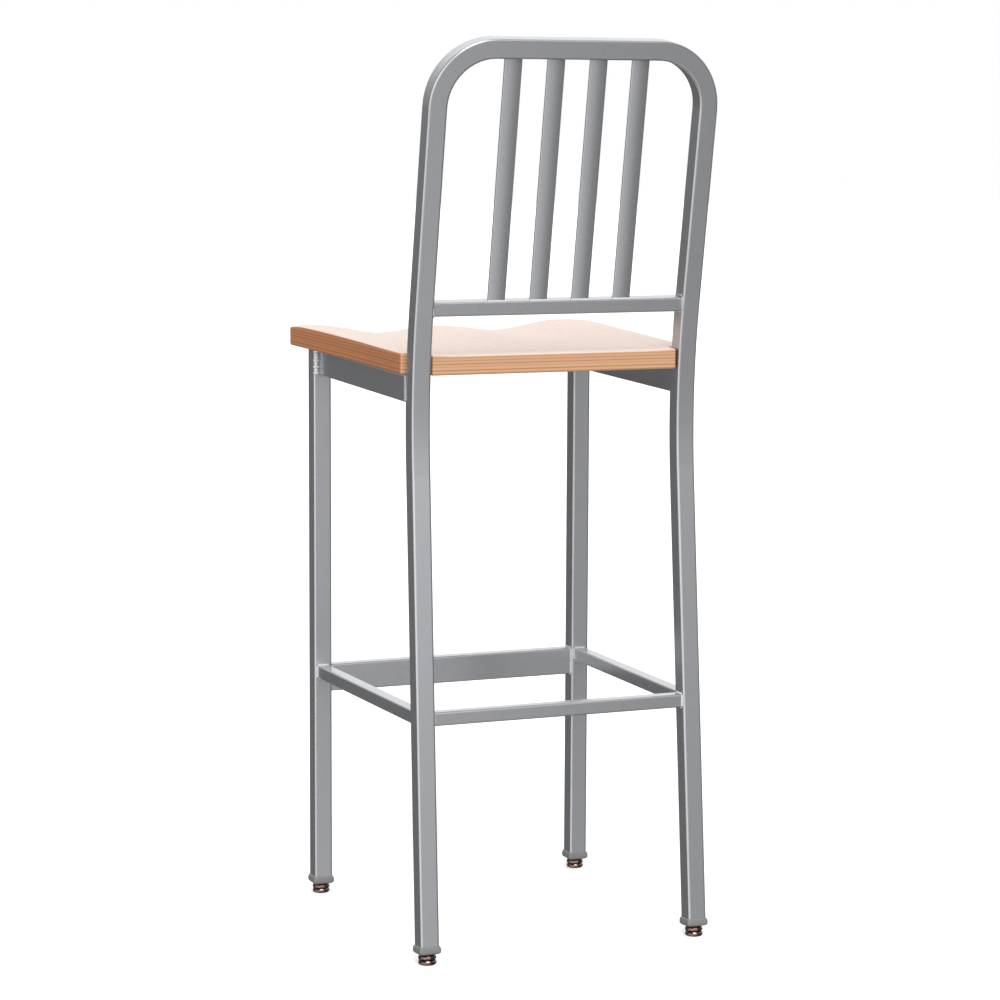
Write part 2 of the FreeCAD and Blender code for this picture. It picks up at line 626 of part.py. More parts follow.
def glide_stem(label):
    """Threaded stem with its domed collar and the riveted neck that holds the ball seat."""
    body = new_body(label)
    half = new_sketch(body, "XZ_Plane", "half")
    neck, collar, stem = named("neck_radius"), named("collar_radius"), named("stem_radius")
    rivet_high = "(Sizes.ball_seat_low - 0.1)"
    add_polygon(half, [("0", named("rivet_low")), ("Sizes.rivet_radius - 0.4", named("rivet_low")),
                       (named("rivet_radius"), rivet_high), (neck, rivet_high),
                       (neck, named("collar_low")), (f"{collar} - Sizes.collar_lip", named("collar_low")),
                       (f"{collar} - Sizes.collar_edge / 2", named("collar_rim")),
                       (collar, "Sizes.collar_rim + Sizes.collar_edge"), (collar, named("collar_belly")),
                       (named("collar_crown"), named("collar_high")), (stem, named("collar_high")),
                       (stem, "Sizes.stem_top - 1"), (f"{stem} - 1", named("stem_top")),
                       ("0", named("stem_top"))],
                arcs=((8, named("collar_dome")),))
    revolve(body, "turned", half)
    return body


def glide_ball_seat(label):
    """Plastic ring round the neck; its outside is part of a ball about the tilting joint."""
    body = new_body(label)
    half = new_sketch(body, "XZ_Plane", "half")
    bore = "(Sizes.neck_radius + Sizes.running_play)"
    low, high = named("ball_seat_low"), named("ball_seat_high")
    low_out = f"sqrt(Sizes.ball_seat_radius ^ 2 - {low} ^ 2)"
    high_out = f"sqrt(Sizes.ball_seat_radius ^ 2 - {high} ^ 2)"
    add_polygon(half, [(bore, low), (low_out, low), (high_out, high), (bore, high)],
                arcs=((1, named("ball_seat_radius")),))
    revolve(body, "turned", half)
    return body


def glide_base(label):
    """Cup that stands on the floor and tilts round the ball seat."""
    body = new_body(label)
    half = new_sketch(body, "XZ_Plane", "half")
    bore, outer, top = named("base_bore"), named("base_radius"), named("base_top")
    add_polygon(half, [("0", "0"), (f"{outer} - 1.8", "0"), (outer, "1.8"), (outer, f"{top} - 2.2"),
                       (f"{outer} - 1.2", f"{top} - 0.6"), (f"{bore} + 1", top), (bore, f"{top} - 0.6"),
                       (bore, named("base_floor")), ("0", named("base_floor"))])
    revolve(body, "turned", half)
    return body


# ---------------------------------------------------------------- the whole stool
rear_frame_tube()
for leg_name, leg_side in SIDES.items():
    front_leg(f"front_leg_{leg_name}", leg_side)
footrest_ring()
seat_rails()
back()
seat_panel()
seat_fixings()
for leg_name, leg_side in SIDES.items():
    foot(f"front_{leg_name}", f"{leg_side} * Sizes.front_centre", named("front_place"), None)
    foot(f"rear_{leg_name}", f"{leg_side} * {REAR_FOOT_X}", REAR_FOOT_Y, LEAN)
doc.recompute()

for item in doc.Objects:
    if "Invalid" in item.State or "Error" in item.State:
        raise RuntimeError(f"{item.Label} failed: {item.State}")
for node in nodes:
    if node.Shape.isNull() or not node.Shape.isValid():
        raise RuntimeError(f"{node.Label} has no valid shape")

os.makedirs("parts", exist_ok=True)
for node in nodes:
    node.Shape.exportStep(f"parts/{node.Label}.step")
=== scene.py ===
# %% [markdown]
# # A bar stool with a footrest
# The stool is a welded frame of square steel tube, a slatted back, a carved plywood seat and four screwed
# glides. The engineering model already holds every part at its real size. This lesson loads that model,
# draws the seat and the slats again with softened edges, adds the welds, and gives each part a finish
# worked out by nodes.

# %% Load the frame
import json
import math

import bmesh
import bpy
from mathutils import Matrix, Vector
from mathutils.bvhtree import BVHTree
from mathutils.geometry import delaunay_2d_cdt


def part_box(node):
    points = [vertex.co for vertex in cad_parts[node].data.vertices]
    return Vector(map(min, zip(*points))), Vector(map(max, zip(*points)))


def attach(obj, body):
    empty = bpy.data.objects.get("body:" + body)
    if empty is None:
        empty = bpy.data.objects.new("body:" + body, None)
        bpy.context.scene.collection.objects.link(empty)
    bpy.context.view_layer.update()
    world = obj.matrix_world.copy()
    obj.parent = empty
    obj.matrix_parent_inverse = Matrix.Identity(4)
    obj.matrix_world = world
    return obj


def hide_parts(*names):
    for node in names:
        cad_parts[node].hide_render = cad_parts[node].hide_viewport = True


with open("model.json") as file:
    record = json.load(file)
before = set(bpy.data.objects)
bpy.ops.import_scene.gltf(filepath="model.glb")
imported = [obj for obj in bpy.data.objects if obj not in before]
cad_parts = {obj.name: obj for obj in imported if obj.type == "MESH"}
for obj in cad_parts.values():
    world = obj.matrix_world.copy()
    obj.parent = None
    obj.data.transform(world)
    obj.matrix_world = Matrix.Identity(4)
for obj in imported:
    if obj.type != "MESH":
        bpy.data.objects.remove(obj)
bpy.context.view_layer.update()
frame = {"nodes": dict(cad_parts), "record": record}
nodes = frame["nodes"]
MM = 0.001

# %% [markdown]
# ## Shader maths as plain expressions
# A material is a graph of nodes, and even a small sum takes several of them. A class that wraps one socket
# and overloads the operators lets the sum be read as a formula, while each operator still adds its own Math
# node.

# %% A socket that can be added, multiplied and subtracted
class Signal:
    def __init__(self, tree, socket):
        self.tree = tree
        self.socket = socket

    def maths(self, operation, *values):
        return self.tree.add("ShaderNodeMath", {"operation": operation}, dict(enumerate(values)))

    def __add__(self, other):
        return self.maths("ADD", self, other)

    def __radd__(self, other):
        return self.maths("ADD", other, self)

    def __sub__(self, other):
        return self.maths("SUBTRACT", self, other)

    def __rsub__(self, other):
        return self.maths("SUBTRACT", other, self)

    def __mul__(self, other):
        return self.maths("MULTIPLY", self, other)

    def __truediv__(self, other):
        return self.maths("DIVIDE", self, other)

    def __abs__(self):
        return self.maths("ABSOLUTE", self)


class NodeTree:
    """Adds nodes to one graph: settings first, then the values or links of the sockets."""

    def __init__(self, graph):
        self.graph = graph

    def split(self, signal):
        """The three parts of a vector."""
        parts = self.graph.nodes.new("ShaderNodeSeparateXYZ")
        self.graph.links.new(signal.socket, parts.inputs[0])
        return [Signal(self, part) for part in parts.outputs]

    def add(self, kind, settings=None, inputs=None, output=0):
        node = self.graph.nodes.new(kind)
        for name, value in (settings or {}).items():
            setattr(node, name, value)
        for key, value in (inputs or {}).items():
            if isinstance(value, Signal):
                self.graph.links.new(value.socket, node.inputs[key])
            else:
                node.inputs[key].default_value = value
        return Signal(self, node.outputs[output])


# %% [markdown]
# ## One starting point for every finish
# All finishes share the Principled shader. What is the same all over is set on its own sockets. Only what
# changes over the surface is linked, so that it can be baked later.

# %% A finish with its constants set
def finish(name, **constants):
    material = bpy.data.materials.new(name)
    material.use_nodes = True
    graph = material.node_tree
    shader = graph.nodes["Principled BSDF"]
    for socket, value in constants.items():
        shader.inputs[socket.replace("_", " ")].default_value = value
    tree = NodeTree(graph)
    place = tree.add("ShaderNodeTexCoord", output="Object")

    def feed(socket, signal):
        graph.links.new(signal.socket, shader.inputs[socket])

    return material, tree, place, feed


def noise(tree, place, scale, detail, stretch=None):
    if stretch:
        place = tree.add("ShaderNodeMapping", {}, {"Vector": place, "Scale": stretch})
    return tree.add("ShaderNodeTexNoise", {}, {"Vector": place, "Scale": scale, "Detail": detail}, "Fac")


# A Mix node keeps a set of sockets for each data type, so its colour sockets are reached by their places.
MIX_FACTOR, MIX_FIRST, MIX_SECOND, MIX_RESULT = 0, 6, 7, 2


def mix(tree, amount, first, second):
    settings = {"data_type": "RGBA", "clamp_factor": True}
    values = {MIX_FACTOR: amount, MIX_FIRST: rgba(first), MIX_SECOND: rgba(second)}
    return tree.add("ShaderNodeMix", settings, values, MIX_RESULT)


def rgba(colour):
    return colour if isinstance(colour, Signal) else (*colour, 1)


def step(tree, signal, low, high):
    """0 below low and 1 above high, with a smooth change between them."""
    settings = {"interpolation_type": "SMOOTHSTEP"}
    return tree.add("ShaderNodeMapRange", settings, {"Value": signal, "From Min": low, "From Max": high})


def bump(tree, height, depth, strength):
    return tree.add("ShaderNodeBump", {}, {"Strength": strength, "Distance": depth, "Height": height})


# %% [markdown]
# ## The silver coat
# The tube is powder coated. Powder melts into a skin with a fine orange peel, and metal flakes in it catch
# the light at random. Two noises do this: a coarse one bends the surface, and a fine one varies colour and
# gloss.

# %% Silver powder coat
DARK_FLAKE, LIGHT_FLAKE, CLOUD_GREY = (0.52, 0.53, 0.555), (0.64, 0.65, 0.675), (0.56, 0.562, 0.57)
FLAKE_SCALE, CLOUD_SCALE, PEEL_SCALE = 2600, 9, 420
PEEL_DEPTH = 0.06 * MM


def silver_coat():
    material, tree, place, feed = finish("silver_coat", Metallic=0.8)
    flakes = noise(tree, place, FLAKE_SCALE, 2)
    cloud = noise(tree, place, CLOUD_SCALE, 3)
    peel = noise(tree, place, PEEL_SCALE, 2)
    grey = mix(tree, step(tree, flakes, 0.3, 0.7), DARK_FLAKE, LIGHT_FLAKE)
    feed("Base Color", mix(tree, cloud * 0.3, grey, CLOUD_GREY))
    feed("Roughness", 0.22 + flakes * 0.08)
    feed("Normal", bump(tree, peel, PEEL_DEPTH, 0.5))
    return material


# %% [markdown]
# ## The plywood
# The seat is pressed from thin plies whose grain turns a quarter from one to the next. The top shows one
# pale face ply. The edges show the stack: pale plies where the grain runs along the edge, darker ones where
# it is cut across, and a thin dark glue line between. Each ply has a depth of tone of its own, and streaks
# and knots break it up. The side edges are painted a deeper brown as shade, because they face away from the
# light. The plies lie along the seat's underside, so the pattern counts its height from that sloping plane.

# %% Carved plywood
SEAT_SLOPE = math.radians(1.45)
PLY = 2.05 * MM
GRAIN_DEPTH = 0.08 * MM
FACE_PLY = (0.90, 0.725, 0.635), (0.85, 0.655, 0.55)
# Each ply seen in an edge has two colours: the lit one at the rear edge first, then a painted shaded copy
# for the side edges.
PALE_PLY = (0.84, 0.50, 0.29), (0.70, 0.30, 0.125)
DARK_PLY = (0.60, 0.28, 0.135), (0.46, 0.165, 0.062)
GLUE_BROWN = (0.17, 0.055, 0.022)
FIBRE_STRETCH, STREAK_STRETCH, KNOT_STRETCH = (9, 0.7, 9), (0.6, 0.6, 12), (1, 1, 2.4)


def seat_plywood():
    material, tree, place, feed = finish("seat_plywood", Coat_Weight=0.15, Coat_Roughness=0.25)
    low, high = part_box("seat_panel")
    _, along, up = tree.split(place)
    height = up - low.z + (along - high.y) * math.tan(SEAT_SLOPE)
    ply = height / PLY
    number = ply.maths("FLOOR", ply)
    depth = tree.add("ShaderNodeTexWhiteNoise", {"noise_dimensions": "1D"}, {"W": number}, "Value")
    level = ply.maths("FRACT", ply)
    turned = ply.maths("PINGPONG", ply, 1.0)
    glue = step(tree, abs(level - 0.5), 0.3, 0.5)

    fibres = noise(tree, place, 60, 4, FIBRE_STRETCH)
    streaks = noise(tree, place, 20, 3, STREAK_STRETCH)
    knots = step(tree, noise(tree, place, 70, 1, KNOT_STRETCH), 0.76, 0.82)
    facing = tree.split(tree.add("ShaderNodeTexCoord", output="Normal"))
    on_face = step(tree, abs(facing[2]), 0.6, 0.85)
    # Painted shade: faces turned to the sides take the darker copy of each ply colour.
    painted_side_shade = step(tree, abs(facing[0]), 0.4, 0.8)

    face = mix(tree, step(tree, fibres, 0.35, 0.7), *FACE_PLY)
    pale = mix(tree, painted_side_shade, *PALE_PLY)
    dark = mix(tree, painted_side_shade, *DARK_PLY)
    edge = mix(tree, step(tree, turned, 0.3, 0.7) * (0.25 + depth * 0.55) + streaks * 0.2, pale, dark)
    edge = mix(tree, glue * depth * 0.55 + knots * 0.45, edge, GLUE_BROWN)
    feed("Base Color", mix(tree, on_face, edge, face))
    feed("Roughness", 0.52 - on_face * 0.12 + fibres * 0.08)
    feed("Normal", bump(tree, fibres + (1 - on_face) * glue * -0.6, GRAIN_DEPTH, 0.35))
    return material


# %% [markdown]
# ## Plastic, nickel, zinc, nylon and weld metal
# The small parts each need only a little. A moulded cap has a fine spark texture. Dark nickel is close to a
# mirror; its dark warm base colour is partly the metal's own tint and partly a painted reflection of a dark
# brown surround. Nylon is nearly black. The weld is bright and mottled by heat.

# %% Small finishes
def mottled(name, dark, light, scale, rough, depth, **constants):
    material, tree, place, feed = finish(name, **constants)
    grain = noise(tree, place, scale, 4)
    feed("Base Color", mix(tree, step(tree, grain, 0.3, 0.7), dark, light))
    feed("Roughness", rough + grain * 0.1)
    feed("Normal", bump(tree, grain, depth, 0.4))
    return material


finishes = {
    "silver_coat": silver_coat(),
    "seat_plywood": seat_plywood(),
    "cap_plastic": mottled("cap_plastic", (0.22, 0.218, 0.215), (0.28, 0.277, 0.273), 1500, 0.36, 0.03 * MM),
    # Dark nickel: the dark warm base colour is partly the metal's own tint and partly a painted reflection
    # of a dark brown surround.
    "dark_nickel": mottled("dark_nickel", (0.20, 0.13, 0.11), (0.28, 0.19, 0.165), 700, 0.08, 0.01 * MM,
                           Metallic=1.0),
    "zinc_steel": mottled("zinc_steel", (0.50, 0.50, 0.48), (0.64, 0.64, 0.62), 900, 0.30, 0.02 * MM,
                          Metallic=1.0),
    "nylon": mottled("nylon", (0.018, 0.016, 0.015), (0.03, 0.027, 0.025), 800, 0.40, 0.02 * MM),
    "weld_metal": mottled("weld_metal", (0.78, 0.78, 0.79), (0.96, 0.96, 0.97), 1100, 0.26, 0.05 * MM,
                          Metallic=0.2),
}

slot_of = {part["node"]: part["material_slot"] for part in frame["record"]["subparts"]}
for name, part in nodes.items():
    part.data.materials.clear()
    part.data.materials.append(finishes[slot_of[name]])
print("finished", len(nodes), "parts with", len(finishes), "materials")


# %% [markdown]
# ## Geometry Nodes, set up once
# A small helper makes a node group with named inputs, and another turns its result into a plain mesh.

# %% Build a node group and bake it to a mesh
def node_group(name, inputs):
    group = bpy.data.node_groups.new(name, "GeometryNodeTree")
    group.interface.new_socket("Geometry", in_out="INPUT", socket_type="NodeSocketGeometry")
    for label, kind in inputs.items():
        group.interface.new_socket(label, in_out="INPUT", socket_type="NodeSocket" + kind)
    group.interface.new_socket("Geometry", in_out="OUTPUT", socket_type="NodeSocketGeometry")
    tree = NodeTree(group)
    entry = group.nodes.new("NodeGroupInput")
    values = {socket.name: Signal(tree, socket) for socket in entry.outputs if socket.name}

    def close(result):
        way_out = group.nodes.new("NodeGroupOutput")
        group.links.new(result.socket, way_out.inputs[0])

    return group, tree, values, close


def grow(name, seed_mesh, group, values, body):
    """Runs the group on a mesh and returns the result as a finished plain mesh on its body."""
    source = bpy.data.objects.new(name + "_source", seed_mesh)
    bpy.context.scene.collection.objects.link(source)
    modifier = source.modifiers.new("grow", "NODES")
    modifier.node_group = group
    for item in group.interface.items_tree:
        if item.in_out == "INPUT" and item.name in values:
            modifier[item.identifier] = values[item.name]
    evaluated = source.evaluated_get(bpy.context.evaluated_depsgraph_get())
    mesh = bpy.data.meshes.new_from_object(evaluated)
    bpy.data.objects.remove(source)
    piece = bpy.data.objects.new(name, mesh)
    bpy.context.scene.collection.objects.link(piece)
    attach(piece, body)
    print(name, "has", len(mesh.polygons), "faces")
    return piece


# %% [markdown]
# ## A seat with eased edges
# The solid seat has knife edges, but a plywood seat's edges are rounded with a router. So its skin is drawn
# again. The outline comes from the solid's flat underside, and the carved height is measured by dropping
# rays on the solid. Rings of points follow the outline over each rounded edge, and an even grid of points
# fills the top.

# %% Measure the solid seat
EASE = 2.4 * MM
EASE_STEPS = 5
RIM_STEP = 6 * MM
GRID_STEP = 8 * MM
HOLD = 0.4 * MM
JOIN = 0.01 * MM
FLAT = math.radians(0.4)
CLEAR_ABOVE = 0.1
SMOOTHINGS = 3
SMOOTH_SHARE = 0.5


def underside(shape):
    """The centre, normal and ordered corners of the flat underside."""
    bmesh.ops.remove_doubles(shape, verts=shape.verts, dist=JOIN)
    bmesh.ops.dissolve_limit(shape, angle_limit=FLAT, verts=shape.verts, edges=shape.edges)
    face = min(shape.faces, key=lambda each: each.normal.z * each.calc_area())
    return face.calc_center_median(), face.normal.copy(), [corner.co.xy for corner in reversed(face.verts)]


def fine_outline(corners):
    """The outline again, with no side longer than the rim step."""
    points = []
    for here, there in zip(corners, corners[1:] + corners[:1]):
        parts = max(1, math.ceil((there - here).length / RIM_STEP))
        points += [here.lerp(there, part / parts) for part in range(parts)]
    return points


def inside(point, fence):
    """Whether a point lies inside a closed outline, by counting the sides a line to it crosses."""
    crossed = False
    for here, there in zip(fence, fence[1:] + fence[:1]):
        if (here.y > point.y) != (there.y > point.y):
            if point.x < here.x + (there.x - here.x) * (point.y - here.y) / (there.y - here.y):
                crossed = not crossed
    return crossed


def inset(points, distance):
    """The outline moved inwards, square to its sides."""
    moved = []
    for before, here, after in zip(points[-1:] + points[:-1], points, points[1:] + points[:1]):
        first, second = (here - before).normalized(), (after - here).normalized()
        inward = Vector((-first.y - second.y, first.x + second.x))
        moved.append(here + inward * distance / (1 + first.dot(second)))
    return moved


def fill(shape, ring, fence, surface):
    """Triangles between a ring of points and an even grid inside the fence; returns the grid's points."""
    edge = [corner.co.xy for corner in ring]
    low = Vector([min(point[axis] for point in fence) for axis in range(2)])
    high = Vector([max(point[axis] for point in fence) for axis in range(2)])
    columns, rows = (math.ceil(length / GRID_STEP) for length in high - low)
    grid = [low + Vector((column, row)) * GRID_STEP for column in range(columns) for row in range(rows)]
    inner = [point for point in grid if inside(point, fence)]
    border = [(number, (number + 1) % len(edge)) for number in range(len(edge))]
    flat, _, triangles, *_ = delaunay_2d_cdt(edge + inner, border, [], 1, JOIN / 10)
    points = list(ring) + [shape.verts.new((*point, surface(point))) for point in flat[len(edge):]]
    for triangle in triangles:
        shape.faces.new([points[corner] for corner in triangle])
    return points[len(edge):]


# %% Draw the seat's skin
def eased_seat(name, node):
    solid = nodes[node].data
    shape = bmesh.new()
    shape.from_mesh(solid)
    carved = BVHTree.FromBMesh(shape)
    centre, normal, corners = underside(shape)
    shape.clear()
    outline = fine_outline(corners)

    def top(point):
        return carved.ray_cast(Vector((*point, centre.z + CLEAR_ABOVE)), Vector((0, 0, -1)))[0].z

    def bottom(point):
        return centre.z - normal.xy.dot(point - centre.xy) / normal.z

    turns = [math.radians(90) * number / EASE_STEPS for number in range(EASE_STEPS + 1)]
    rounding = [(EASE * (1 - math.cos(turn)), EASE * (1 - math.sin(turn))) for turn in turns]
    rim = [(0, EASE + HOLD)] + rounding + [(EASE + HOLD, 0)]
    rings = []
    for surface, sign, steps in ((bottom, 1, reversed(rim)), (top, -1, rim)):
        for distance, drop in steps:
            probes = inset(outline, max(distance, HOLD))
            heights = [surface(probe) + sign * drop for probe in probes]
            places = inset(outline, distance)
            rings.append([shape.verts.new((*place, height)) for place, height in zip(places, heights)])
    for lower, upper in zip(rings, rings[1:]):
        for a, b, c, d in zip(lower, lower[1:] + lower[:1], upper[1:] + upper[:1], upper):
            shape.faces.new((a, b, c, d))
    fence = inset(outline, EASE + GRID_STEP / 2)
    fill(shape, rings[0], fence, bottom)
    loose = fill(shape, rings[-1], fence, top)
    for _ in range(SMOOTHINGS):
        bmesh.ops.smooth_vert(shape, verts=loose, factor=SMOOTH_SHARE, use_axis_z=True)
    bmesh.ops.remove_doubles(shape, verts=shape.verts, dist=JOIN)
    bmesh.ops.recalc_face_normals(shape, faces=shape.faces)

    mesh = bpy.data.meshes.new(name)
    shape.to_mesh(mesh)
    shape.free()
    for face in mesh.polygons:
        face.use_smooth = True
    piece = bpy.data.objects.new(name, mesh)
    bpy.context.scene.collection.objects.link(piece)
    mesh.materials.append(finishes[slot_of[node]])
    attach(piece, "frame")
    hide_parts(node)
    print(name, "has", len(mesh.polygons), "faces")


eased_seat("seat", "seat_panel")

# %% [markdown]
# ## Slats with softened corners
# The four slats are flat bar, and rolled bar never has a knife edge. One rounded section is swept along the
# bar, tilted with the back, and repeated at the slats' pitch. Its width, thickness, length and pitch are
# read from the solids; the corner radius and the rake are given.

# %% Slats from one rounded bar
SLAT_CORNER = 1.1 * MM
CORNER_STEPS = 4
BACK_RAKE = math.radians(10)


def slat_group():
    sizes = {"Width": "Float", "Thickness": "Float", "Length": "Float", "Rake": "Float", "Pitch": "Float",
             "Count": "Int", "Corner": "Float", "Centre": "Vector", "Coat": "Material"}
    group, tree, value, close = node_group("slats", sizes)
    outline = tree.add("GeometryNodeCurvePrimitiveQuadrilateral", {"mode": "RECTANGLE"},
                       {"Width": value["Width"], "Height": value["Thickness"]})
    rounded = tree.add("GeometryNodeFilletCurve", {"mode": "POLY"},
                       {"Curve": outline, "Radius": value["Corner"], "Count": CORNER_STEPS})
    half = value["Length"] * 0.5
    top = tree.add("ShaderNodeCombineXYZ", {}, {"Z": half})
    foot = tree.add("ShaderNodeVectorMath", {"operation": "SCALE"}, {0: top, "Scale": -1.0})
    spine = tree.add("GeometryNodeCurvePrimitiveLine", {"mode": "POINTS"}, {"Start": foot, "End": top})
    bar = tree.add("GeometryNodeCurveToMesh", {},
                   {"Curve": spine, "Profile Curve": rounded, "Fill Caps": True})
    gap = tree.add("ShaderNodeCombineXYZ", {}, {"X": value["Pitch"]})
    row = tree.add("GeometryNodeMeshLine", {"mode": "OFFSET"},
                   {"Count": value["Count"], "Start Location": value["Centre"], "Offset": gap})
    lean = tree.add("ShaderNodeCombineXYZ", {}, {"X": value["Rake"]})
    placed = tree.add("GeometryNodeInstanceOnPoints", {},
                      {"Points": row, "Instance": bar, "Rotation": lean})
    solid = tree.add("GeometryNodeRealizeInstances", {}, {"Geometry": placed})
    close(tree.add("GeometryNodeSetMaterial", {}, {"Geometry": solid, "Material": value["Coat"]}))
    return group


slat_names = [f"back_slat_{number}" for number in range(1, 5)]
slat_boxes = sorted((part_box(name) for name in slat_names), key=lambda corners: corners[0].x)
slat_low, slat_high = slat_boxes[0]
slat_wide = slat_high.x - slat_low.x
slat_run = slat_high.y - slat_low.y
slat_rise = slat_high.z - slat_low.z
shrink = math.cos(2 * BACK_RAKE)
slat_long = (slat_rise * math.cos(BACK_RAKE) - slat_run * math.sin(BACK_RAKE)) / shrink
slat_thick = (slat_run - slat_long * math.sin(BACK_RAKE)) / math.cos(BACK_RAKE)
slat_pitch = slat_boxes[1][0].x - slat_low.x
back_slats = grow("back_slats", bpy.data.meshes.new("slat_seed"), slat_group(), {
    "Width": slat_wide, "Thickness": slat_thick, "Length": slat_long, "Rake": -BACK_RAKE,
    "Pitch": slat_pitch, "Count": len(slat_names), "Corner": SLAT_CORNER,
    "Centre": (slat_low + slat_high) / 2, "Coat": finishes["silver_coat"],
}, "frame")
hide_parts(*slat_names)
print("slat thickness", round(slat_thick / MM, 2), "mm, length", round(slat_long / MM, 1), "mm")


# %% [markdown]
# ## Weld beads
# Where one tube ends on another the welder leaves a row of overlapping ripples. Each seam is a straight
# edge round the end of a rail. Ripples are set along it at an even step and turned to follow it, with a
# little variation from a fixed seed, because no hand is perfectly steady. There are four kinds of bead.
# Heavy ones stand at the front ends of the side seat rails, bare ones go round the ends of the footrest's
# rails, coated ones hold the back rail, the front seat rail and the rear ends of the side rails, and fine
# ones run along the slats' feet.

# %% The weld group
RIPPLE_SEGMENTS, RIPPLE_RINGS = 8, 5
SWELL_LOW, SWELL_HIGH, RIPPLE_LENGTH = 0.8, 1.15, 0.7
# A Random Value node also keeps a set of sockets for each data type. These are the places of the decimal
# ones.
RANDOM_LOW, RANDOM_HIGH, RANDOM_RESULT = 2, 3, 1


def weld_group():
    sizes = {"Ripple": "Float", "Step": "Float", "Seed": "Int", "Metal": "Material"}
    group, tree, value, close = node_group("welds", sizes)
    seams = tree.add("GeometryNodeMeshToCurve", {}, {"Mesh": value["Geometry"]})
    points = tree.add("GeometryNodeResampleCurve", {"mode": "LENGTH"},
                      {"Curve": seams, "Length": value["Step"]})
    blob = tree.add("GeometryNodeMeshUVSphere", {},
                    {"Segments": RIPPLE_SEGMENTS, "Rings": RIPPLE_RINGS, "Radius": value["Ripple"]})
    tangent = tree.add("GeometryNodeInputTangent")
    turn = tree.add("FunctionNodeAlignRotationToVector", {"axis": "Z"}, {"Vector": tangent})
    swell = tree.add("FunctionNodeRandomValue", {"data_type": "FLOAT"},
                     {RANDOM_LOW: SWELL_LOW, RANDOM_HIGH: SWELL_HIGH, "Seed": value["Seed"]}, RANDOM_RESULT)
    size = tree.add("ShaderNodeCombineXYZ", {}, {"X": swell, "Y": swell, "Z": RIPPLE_LENGTH})
    placed = tree.add("GeometryNodeInstanceOnPoints", {},
                      {"Points": points, "Instance": blob, "Rotation": turn, "Scale": size})
    solid = tree.add("GeometryNodeRealizeInstances", {}, {"Geometry": placed})
    smooth = tree.add("GeometryNodeSetShadeSmooth", {}, {"Geometry": solid})
    close(tree.add("GeometryNodeSetMaterial", {}, {"Geometry": smooth, "Material": value["Metal"]}))
    return group


# %% Find the seams at the ends of the rails
END_REACH = 2.5 * MM
SEAM_INSET = 2.5 * MM


def end_box(name, axis, far):
    """The box round the vertices at one end of a rail."""
    places = [vertex.co for vertex in nodes[name].data.vertices]
    limit = (max if far else min)(place[axis] for place in places)
    close_by = [place for place in places if abs(place[axis] - limit) < END_REACH]
    low = Vector([min(place[i] for place in close_by) for i in range(3)])
    high = Vector([max(place[i] for place in close_by) for i in range(3)])
    low[axis] = high[axis] = limit
    return low, high


def end_seams(name, axis, far):
    """Four straight seams round one end of a rail that runs along an axis."""
    low, high = end_box(name, axis, far)
    first, second = [i for i in range(3) if i != axis]
    seams = []
    for run, side in ((first, second), (second, first)):
        for edge in (low[side], high[side]):
            start, end = low.copy(), high.copy()
            start[side] = end[side] = edge
            start[run] += SEAM_INSET
            end[run] -= SEAM_INSET
            seams.append((start, end))
    return seams


# %% Sort the seams by their kind of bead
RAILS_ALONG_X = ("footrest_rail", "rear_stretcher", "lower_back_rail", "seat_rail_front")
RAILS_ALONG_Y = ("side_stretcher_left", "side_stretcher_right", "seat_rail_left", "seat_rail_right")
BARE_RAILS = ("footrest_rail", "rear_stretcher", "side_stretcher_left", "side_stretcher_right")
OUTWARD = {False: 3.2 * MM, True: -1.6 * MM}


def outer_seam(name, far):
    """The upright seam on a rail's outer side, moved outwards at the front and inwards at the rear."""
    start, end = max(end_seams(name, 1, far), key=lambda seam: abs(seam[0].x + seam[1].x))
    shift = Vector((math.copysign(1, start.x) * OUTWARD[far], 0, 0))
    return start + shift, end + shift


seams = {"heavy": [], "bare": [], "coated": []}
for axis, names in ((0, RAILS_ALONG_X), (1, RAILS_ALONG_Y)):
    for name in names:
        for far in (False, True):
            if name in BARE_RAILS or axis == 0:
                seams["bare" if name in BARE_RAILS else "coated"] += end_seams(name, axis, far)
            else:
                seams["coated" if far else "heavy"].append(outer_seam(name, far))


# %% Seams along the feet of the slats
def slat_foot_seam(low, high):
    """The seam on the rear side of a slat's foot, where it stands on the rail."""
    rear = low.y + slat_thick * math.cos(BACK_RAKE)
    return Vector((low.x, rear, low.z)), Vector((high.x, rear, low.z))


seams["foot"] = [slat_foot_seam(low, high) for low, high in slat_boxes]

# %% Lay the beads
def edges_mesh(name, lines):
    shape = bmesh.new()
    for start, end in lines:
        shape.edges.new((shape.verts.new(start), shape.verts.new(end)))
    mesh = bpy.data.meshes.new(name)
    shape.to_mesh(mesh)
    shape.free()
    return mesh


BEADS = {"heavy": (4.3 * MM, 3.8 * MM, "weld_metal"), "bare": (1.6 * MM, 1.5 * MM, "weld_metal"),
         "coated": (1.5 * MM, 0.8 * MM, "silver_coat"), "foot": (1.2 * MM, 0.7 * MM, "weld_metal")}
FIRST_SEED = 4
welds = weld_group()
for seed, (kind, (ripple, pace, metal)) in enumerate(BEADS.items(), start=FIRST_SEED):
    values = {"Ripple": ripple, "Step": pace, "Seed": seed, "Metal": finishes[metal]}
    grow(f"{kind}_welds", edges_mesh(kind, seams[kind]), welds, values, "frame")

# %% [markdown]
# ## Floor, light and camera
# The stool stands on a plain pale floor. Soft panels behind the stool, in front of it and at its side light
# the faces of the square tube unevenly, so it reads as square. A broad lamp above and behind the sitter
# adds to the tops and the rear faces, and a dim surround lights the rest.

# %% Stage
FLOOR_REACH = 30.0
FLOOR_GLOW = 0.35
FLOOR_DARK, FLOOR_LIGHT = (0.93, 0.93, 0.93), (0.95, 0.95, 0.95)
REAR_PANEL = 0.42
SIDE_PANEL = 0.85
FRONT_PANEL = 0.95
OVERHEAD = 0.14
SURROUND = 0.14
